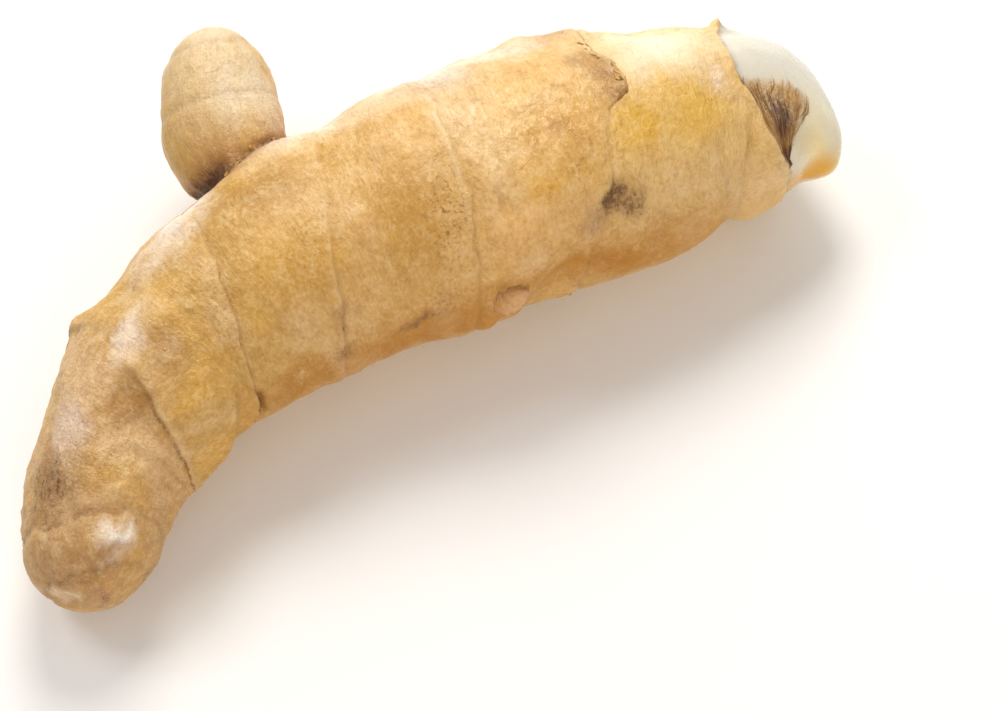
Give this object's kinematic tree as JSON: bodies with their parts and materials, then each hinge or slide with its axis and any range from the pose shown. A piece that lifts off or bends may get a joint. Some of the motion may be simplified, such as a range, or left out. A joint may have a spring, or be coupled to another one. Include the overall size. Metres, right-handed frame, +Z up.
{
  "type": "ginger root",
  "caption": "Fresh ginger rhizome: a thick ringed body that bends into a slimmer leg, with a round knob and a pale shoot end, lying on its side.",
  "frame": {"origin": "middle of the footprint's bounding box, on the surface that the rhizome lies on", "axes": "+X along the thick body towards the pale shoot end, +Y towards the side of the round knob, +Z up"},
  "size_m": [0.1262, 0.0958, 0.0367],
  "materials": {
    "skin": "thin corky skin, satin with a faint waxy gloss"
  },
  "bodies": {
    "root": {"rhizome": "skin"}
  },
  "joints": []
}
